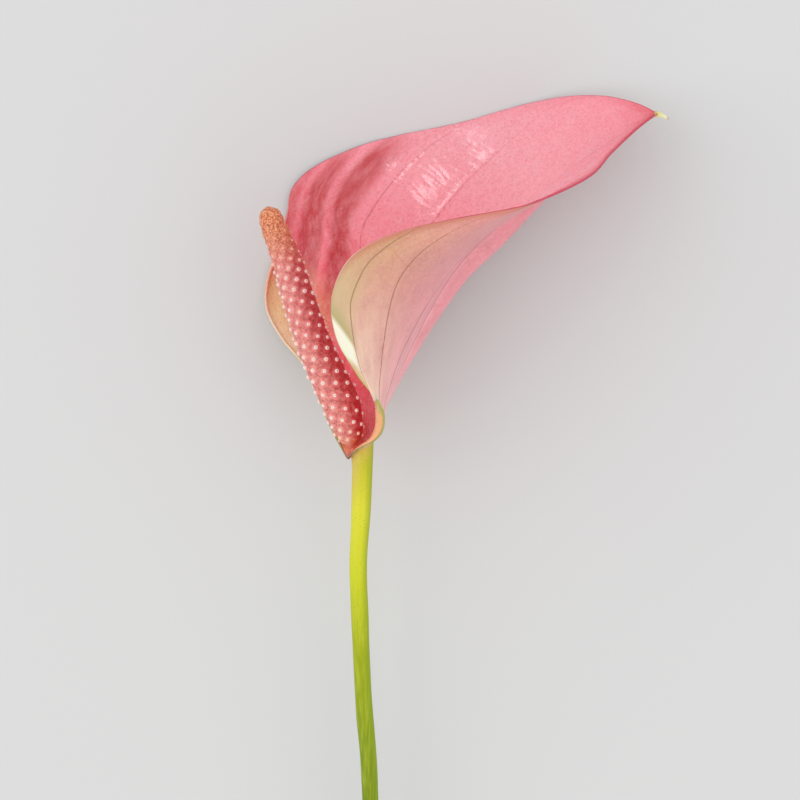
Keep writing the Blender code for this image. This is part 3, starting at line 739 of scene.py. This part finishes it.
# The youngest end is tan, speckled brown.
tan = add(tree, "ShaderNodeValToRGB", {0: specks.outputs["Fac"]}, stops=[
    (0.36, "#A8482A"), (0.48, "#DC7E50"), (0.62, "#F4B084"),
])
tan_amount = add(tree, "ShaderNodeMapRange", {0: spike, 1: 0.74, 2: 0.95, 3: 0.0, 4: 0.85})
flesh_colour = add(tree, "ShaderNodeMix", {0: tan_amount, 6: flesh_colour, 7: tan}, data_type="RGBA")
tree.links.new(flesh_colour.outputs[2], shader.inputs["Base Color"])
grain = add(tree, "ShaderNodeTexNoise", {"Vector": place, "Scale": per_mm(0.4545), "Detail": 2.0})
bump = add(tree, "ShaderNodeBump", {"Height": grain.outputs["Fac"], "Strength": 0.3, "Distance": 0.0002})
tree.links.new(bump.outputs[0], shader.inputs["Normal"])
set_inputs(shader, {
    "Roughness": 0.45, "IOR": 1.45, "Subsurface Weight": 0.25, "Subsurface Radius": (1.0, 0.3, 0.2),
    "Subsurface Scale": 0.0015,
})
spadix.data.materials.append(flesh)
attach(spadix, "root")
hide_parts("spadix")

# Stigmas: one small raised ring with a sunken middle on every flower, pale and slightly wet.
STIGMA_SIDES = 9
STIGMA_FOOT = 0.60  # radius in millimetres
STIGMA_RINGS = [  # radius and height above the foot, over the crest and into the pit
    (0.54, 0.34), (0.43, 0.52), (0.24, 0.54), (0.12, 0.40),
]
PIT_RADIUS = 0.15
FLOWERS_FROM, FLOWERS_TO = 0.03, 0.985  # shares of the spike's length
YOUNG_FROM, YOUNG_LENGTH, YOUNG_SIZE = 0.72, 0.2, 0.5  # the upper flowers shrink to this size
STIGMA_SINK = 0.14  # how deep the foot sits in its cushion

bpy.ops.object.select_all(action="DESELECT")
bpy.ops.mesh.primitive_circle_add(vertices=STIGMA_SIDES, radius=STIGMA_FOOT, fill_type="NOTHING")
stigma = bpy.context.object
bpy.ops.object.mode_set(mode="EDIT")
bpy.ops.mesh.select_all(action="SELECT")
previous = (STIGMA_FOOT, 0.0)
for ring in STIGMA_RINGS:
    bpy.ops.mesh.extrude_edges_move(TRANSFORM_OT_translate={"value": (0, 0, ring[1] - previous[1])})
    bpy.ops.transform.resize(value=(ring[0] / previous[0], ring[0] / previous[0], 1))
    previous = ring
bpy.ops.mesh.edge_face_add()
bpy.ops.object.mode_set(mode="OBJECT")
for face in stigma.data.polygons:
    face.material_index = int(math.hypot(face.center.x, face.center.y) < PIT_RADIUS)

flowers = bmesh.new()
for whorl in range(1, int(whorls_at[-1]) + 1):
    site_at = float(np.interp(whorl, whorls_at, fine_at))
    if not FLOWERS_FROM < site_at < FLOWERS_TO:
        continue
    (foot,), (site_radius,), (way,), (site_across,), (site_up,) = spadix_frame(np.array([site_at]))
    young = min(max((site_at - YOUNG_FROM) / YOUNG_LENGTH, 0), 1)
    along_way = Vector(way)
    for flower in range(FLOWERS_IN_WHORL):
        turn = math.radians(WHORL_TURN * whorl + 360 / FLOWERS_IN_WHORL * flower)
        uneven = 0.93 + 0.07 * math.sin(12.9 * whorl + 7.1 * flower)
        size = (1 - (1 - YOUNG_SIZE) * young) * uneven * min(site_radius / FULL_RADIUS, 1.05)
        out_way = Vector(site_across * math.cos(turn) + site_up * math.sin(turn))
        lift = site_radius - SKIN_INSET + CUSHION_HEIGHT * min(site_radius / FULL_RADIUS, 1) - STIGMA_SINK
        place = Vector(foot + FLOWER_AT) + out_way * lift
        turned = Matrix((along_way.cross(out_way), along_way, out_way)).transposed()
        fresh = len(flowers.verts)
        flowers.from_mesh(stigma.data)
        flowers.verts.ensure_lookup_table()
        for vert in flowers.verts[fresh:]:
            vert.co = (place + turned @ (vert.co * size)) * MM
bpy.data.objects.remove(stigma)
stigmas_mesh = bpy.data.meshes.new("spadix_stigmas")
flowers.to_mesh(stigmas_mesh)
flowers.free()
stigmas = bpy.data.objects.new("spadix_stigmas", stigmas_mesh)
bpy.context.scene.collection.objects.link(stigmas)
for face in stigmas_mesh.polygons:
    face.use_smooth = True
ring_skin = bpy.data.materials.new("stigma pale wet ring")
ring_skin.use_nodes = True
tree = ring_skin.node_tree
shader = tree.nodes["Principled BSDF"]
split = add(tree, "ShaderNodeSeparateXYZ", {0: add(tree, "ShaderNodeTexCoord").outputs["Object"]})
RINGS_FROM_Y, RINGS_TO_Y = 0.104, 0.1674  # metres in the frame
share = add(tree, "ShaderNodeMapRange", {0: split.outputs["Y"], 1: RINGS_FROM_Y, 2: RINGS_TO_Y})
ring_colour = add(tree, "ShaderNodeValToRGB", {0: share}, stops=[
    (0.0, "#F2C8A0"), (0.08, "#FBE6DC"), (0.62, "#FBDCD6"), (0.80, "#F2B8A8"), (0.92, "#E8B080"),
])
tree.links.new(ring_colour.outputs[0], shader.inputs["Base Color"])
set_inputs(shader, {
    "Roughness": 0.3, "Subsurface Weight": 0.2, "Subsurface Radius": (1.0, 0.6, 0.5),
    "Subsurface Scale": 0.0006,
})
pit_skin = bpy.data.materials.new("stigma sunken middle")
pit_skin.use_nodes = True
shader = pit_skin.node_tree.nodes["Principled BSDF"]
set_inputs(shader, {"Base Color": linear("#D8785A"), "Roughness": 0.5})
stigmas_mesh.materials.append(ring_skin)
stigmas_mesh.materials.append(pit_skin)
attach(stigmas, "root")
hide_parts("spadix")

# Stem: the round fleshy stalk, yellow under the flower and green below, faintly ribbed, and cut on a
# slant at its lower end, where its wet pale pith shows inside the green skin.
STEM = [  # X, Y and Z of its centre from the flower down to the cut end, then the radius, in millimetres
    (0.7, -1.4, 0.0, 2.7), (0.7, -4.6, -0.1, 2.75), (0.6, -7.6, -0.4, 2.75), (0.2, -18.9, -1.4, 2.6),
    (-0.5, -31.9, -2.6, 2.4), (-0.1, -45.1, -3.8, 2.35), (0.4, -58.1, -5.0, 2.3), (1.1, -71.3, -6.2, 2.3),
    (2.2, -84.2, -7.4, 2.25), (2.7, -95.3, -8.4, 2.25),
    (3.5, -120.0, -10.6, 2.25), (4.4, -150.0, -13.2, 2.25),
    (5.0, -180.0, -15.7, 2.3), (5.2, -215.0, -18.5, 2.3),
    (4.8, -250.0, -21.2, 2.35), (3.9, -280.0, -23.7, 2.4),
    (3.1, -300.0, -25.05, 2.4),
]
STEM_SIDES, STEM_RINGS = 40, 420
TOP_SWELL, TOP_SWELL_LENGTH = 0.13, 5  # share of the radius, and millimetres below the flower
TOP_SLOPE, TOP_RISE, TOP_LENGTH = 0.74, 1.3, 6  # the top follows the slope of the spathe's base
CUT_SLOPE, CUT_LENGTH = 0.9, 5  # the lower end follows the knife
WAVES = ((0.012, 55, 0), (0.008, 131, 1))  # uneven thickness: share of the radius, waves, start
RIBS, RIB_SHARE = 5, 0.010
# Under the skin the cut shows a green rim, a sunken step and the pith: inset and drop in metres.
CUT_INSETS = ((0.00030, 0.0), (0.00010, 0.00012), (0.0008, 0.0))

stem_line = np.array(STEM, float)
lengths = np.concatenate([[0], np.cumsum(np.linalg.norm(np.diff(stem_line[:, :3], axis=0), axis=1))])
stem_keys = np.column_stack([lengths / lengths[-1], stem_line])
bpy.ops.object.select_all(action="DESELECT")
bpy.ops.mesh.primitive_cylinder_add(vertices=STEM_SIDES, radius=1, depth=1, end_fill_type="NOTHING")
stem = bpy.context.object
stem.name = stem.data.name = "stem_stalk"
bpy.ops.object.mode_set(mode="EDIT")
cage = bmesh.from_edit_mesh(stem.data)
upright = [edge for edge in cage.edges if abs(edge.verts[0].co.z - edge.verts[1].co.z) > 0.5]
bmesh.ops.subdivide_edges(cage, edges=upright, cuts=STEM_RINGS - 1, use_grid_fill=False)
bmesh.update_edit_mesh(stem.data)
bpy.ops.object.mode_set(mode="OBJECT")
tube = np.zeros(len(stem.data.vertices) * 3)
stem.data.vertices.foreach_get("co", tube)
tube = tube.reshape(-1, 3)
at = np.clip(0.5 - tube[:, 2], 0, 1)
angle = np.arctan2(tube[:, 1], tube[:, 0])
values = smooth_line(stem_keys, at)
direction = smooth_line(
    stem_keys, np.clip(at + 0.004, 0, 1)
) - smooth_line(stem_keys, np.clip(at - 0.004, 0, 1))
direction = direction[:, :3] / np.linalg.norm(direction[:, :3], axis=1)[:, None]
across_way = np.cross(direction, (0, 0, 1.0))
across_way /= np.linalg.norm(across_way, axis=1)[:, None]
up_way = np.cross(across_way, direction)
swell = TOP_SWELL * np.clip(1 - at * lengths[-1] / TOP_SWELL_LENGTH, 0, 1) ** 1.5
wobble = 1 + swell + RIB_SHARE * np.cos(RIBS * angle + at * 9)
for wave, waves, start in WAVES:
    wobble += wave * np.sin(at * waves + start)
out_way = across_way * np.cos(angle)[:, None] + up_way * np.sin(angle)[:, None]
skin = values[:, :3] + out_way * (values[:, 3] * wobble)[:, None]
top_pull = np.clip(1 - at * lengths[-1] / TOP_LENGTH, 0, 1)
skin[:, 1] += (TOP_SLOPE * (skin[:, 0] - STEM[0][0]) + TOP_RISE) * top_pull
cut_pull = np.clip(1 - (1 - at) * lengths[-1] / CUT_LENGTH, 0, 1)
skin[:, 1] += CUT_SLOPE * (skin[:, 0] - STEM[-1][0]) * cut_pull
stem.data.vertices.foreach_set("co", ((skin + FLOWER_AT) * MM).reshape(-1))
stem.data.attributes.new("right_side", "FLOAT", "POINT").data.foreach_set("value", out_way[:, 0])
stem.data.update()
green = bpy.data.materials.new("stem green waxy skin")
pith = bpy.data.materials.new("stem cut pith")
stem.data.materials.append(green)
stem.data.materials.append(pith)
cage = bmesh.new()
cage.from_mesh(stem.data)
rims = [edge for edge in cage.edges if edge.is_boundary]
cut_rim = [edge for edge in rims if edge.verts[0].co.y < 0]
top_rim = [edge for edge in rims if edge.verts[0].co.y > 0]
bmesh.ops.contextual_create(cage, geom=top_rim)
cut_face = bmesh.ops.contextual_create(cage, geom=cut_rim)["faces"]
for inset, drop in CUT_INSETS:
    bmesh.ops.inset_region(cage, faces=cut_face, thickness=inset, depth=-drop, use_even_offset=True)
    for face in cage.faces:
        near_cut = face.calc_center_median().y < cut_face[0].calc_center_median().y + 0.01
        same_way = face.normal.dot(cut_face[0].normal) > 0.7
        if face not in cut_face and len(face.verts) == 4 and near_cut and same_way:
            face.material_index = 1
cut_face[0].material_index = 1
cage.normal_update()
bmesh.ops.recalc_face_normals(cage, faces=cage.faces)
cage.to_mesh(stem.data)
cage.free()
bpy.ops.object.select_all(action="DESELECT")
stem.select_set(True)
bpy.context.view_layer.objects.active = stem
bpy.ops.object.shade_smooth_by_angle(angle=math.radians(50))
green.use_nodes = True
tree = green.node_tree
shader = tree.nodes["Principled BSDF"]
place = add(tree, "ShaderNodeTexCoord").outputs["Object"]
split = add(tree, "ShaderNodeSeparateXYZ", {0: place})
GREENING_FROM_Y, GREENING_TO_Y = 0.104, -0.200  # metres in the frame
share = add(tree, "ShaderNodeMapRange", {0: split.outputs["Y"], 1: GREENING_FROM_Y, 2: GREENING_TO_Y})
stem_colour = add(tree, "ShaderNodeValToRGB", {0: share}, stops=[
    (0.0, "#DEBC5E"), (0.02, "#C6BE22"), (0.06, "#DAD630"), (0.12, "#CACE1E"), (0.19, "#9CA800"),
    (0.27, "#7E9200"), (0.36, "#708600"), (1.0, "#708800"),
])
# Long cells 0.7 mm wide and 12 mm long, and green dots 0.6 mm across.
stretched = add(tree, "ShaderNodeMapping", {0: place, "Scale": (1.0, 0.06, 1.0)})
streak = add(tree, "ShaderNodeTexNoise", {"Vector": stretched, "Scale": per_mm(0.7143), "Detail": 3.0})
streak_amount = add(tree, "ShaderNodeValToRGB", {0: streak.outputs["Fac"]}, stops=[
    (0.42, 0.0), (0.74, 0.3),
])
streaked = add(
    tree, "ShaderNodeMix", {0: streak_amount, 6: stem_colour, 7: linear("#DCE04A")}, data_type="RGBA"
)
dots = add(tree, "ShaderNodeTexNoise", {"Vector": place, "Scale": per_mm(0.5556), "Detail": 2.0})
dots_amount = add(tree, "ShaderNodeValToRGB", {0: dots.outputs["Fac"]}, stops=[(0.60, 0.0), (0.75, 0.3)])
dotted = add(tree, "ShaderNodeMix", {0: dots_amount, 6: streaked, 7: linear("#6E7F10")}, data_type="RGBA")
# Painted shade, a darker green, down its right side, and tinted peach at the top left, where the spathe's
# base runs into it.
side = add(tree, "ShaderNodeAttribute", attribute_name="right_side").outputs["Fac"]
painted_shade_right = add(tree, "ShaderNodeMapRange", {0: side, 1: 0.3, 2: 0.95, 3: 0.0, 4: 0.65})
dotted = add(tree, "ShaderNodeMix", {0: painted_shade_right, 6: dotted, 7: linear("#8AA20C")}, data_type="RGBA")
peach_side = add(tree, "ShaderNodeMapRange", {0: side, 1: 0.2, 2: -0.9, 3: 0.0, 4: 0.6})
peach_top = add(tree, "ShaderNodeMapRange", {0: share, 1: 0.0, 2: 0.07, 3: 1.0, 4: 0.0})
peach_amount = add(tree, "ShaderNodeMath", {0: peach_side, 1: peach_top}, operation="MULTIPLY")
dotted = add(tree, "ShaderNodeMix", {0: peach_amount, 6: dotted, 7: linear("#E0B478")}, data_type="RGBA")
tree.links.new(dotted.outputs[2], shader.inputs["Base Color"])
bump = add(tree, "ShaderNodeBump", {"Height": streak.outputs["Fac"], "Strength": 0.25, "Distance": 0.0002})
tree.links.new(bump.outputs[0], shader.inputs["Normal"])
set_inputs(shader, {
    "Roughness": 0.42, "IOR": 1.40, "Specular IOR Level": 0.35, "Subsurface Weight": 0.2,
    "Subsurface Radius": (0.6, 1.0, 0.2), "Subsurface Scale": 0.0015,
})
pith.use_nodes = True
tree = pith.node_tree
shader = tree.nodes["Principled BSDF"]
place = add(tree, "ShaderNodeTexCoord").outputs["Object"]
strands = add(tree, "ShaderNodeTexVoronoi", {"Vector": place, "Scale": per_mm(0.7143)})
pith_colour = add(tree, "ShaderNodeValToRGB", {0: strands.outputs["Distance"]}, stops=[
    (0.10, "#B9C282"), (0.35, "#E2E4B8"), (0.8, "#D6DCA2"),
])
tree.links.new(pith_colour.outputs[0], shader.inputs["Base Color"])
shader.inputs["Roughness"].default_value = 0.3
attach(stem, "root")
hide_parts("stem")

# Floor: a plain pale grey studio surface.
bpy.ops.object.select_all(action="DESELECT")
bpy.ops.mesh.primitive_plane_add(size=8, location=(0, 0, 0))
floor = bpy.context.object
floor.name = "floor"
paper = bpy.data.materials.new("floor matt paper")
paper.use_nodes = True
shader = paper.node_tree.nodes["Principled BSDF"]
set_inputs(shader, {"Base Color": linear("#D6D6D6"), "Roughness": 0.9, "Specular IOR Level": 0.2})
floor.data.materials.append(paper)

# Studio light: a large soft light from the left of the picture, a weaker one from the right, a small one
# past the flower's upper end that the wax reflects, and an even pale surround.
LIGHTS = [  # name, place and size in metres, power in watts
    ("key", (-1.50, 0.20, 1.20), 1.8, 8.0),
    ("fill", (0.75, -0.10, 0.95), 1.2, 1.6),
    ("top", (-0.14, 0.72, 0.86), 0.048, 0.09),
]
LIT_SPOT = Vector((0.0, 0.14, 0.03))
for name, spot, size, power in LIGHTS:
    light = bpy.data.lights.new(name, "AREA")
    light.size, light.energy = size, power
    lamp = bpy.data.objects.new(name, light)
    lamp.location = spot
    lamp.rotation_euler = (LIT_SPOT - Vector(spot)).to_track_quat("-Z", "Y").to_euler()
    bpy.context.scene.collection.objects.link(lamp)
world = bpy.data.worlds.new("studio")
world.use_nodes = True
world.node_tree.nodes["Background"].inputs["Color"].default_value = linear("#F4F4F4")
world.node_tree.nodes["Background"].inputs["Strength"].default_value = 1.0
bpy.context.scene.world = world
bpy.context.scene.view_settings.view_transform = "Standard"

# Camera: straight above the flower, 1.2 m over the point where its pieces meet, in millimetres from there.
EYE_FROM_FLOWER = np.array((10.8, 12.69, 1200.0))
camera = bpy.data.cameras.new("camera")
camera.lens, camera.sensor_width = 200, 36
camera.clip_end = 20
eye = bpy.data.objects.new("camera", camera)
eye.location = (EYE_FROM_FLOWER + FLOWER_AT) * MM
bpy.context.scene.collection.objects.link(eye)
bpy.context.scene.camera = eye
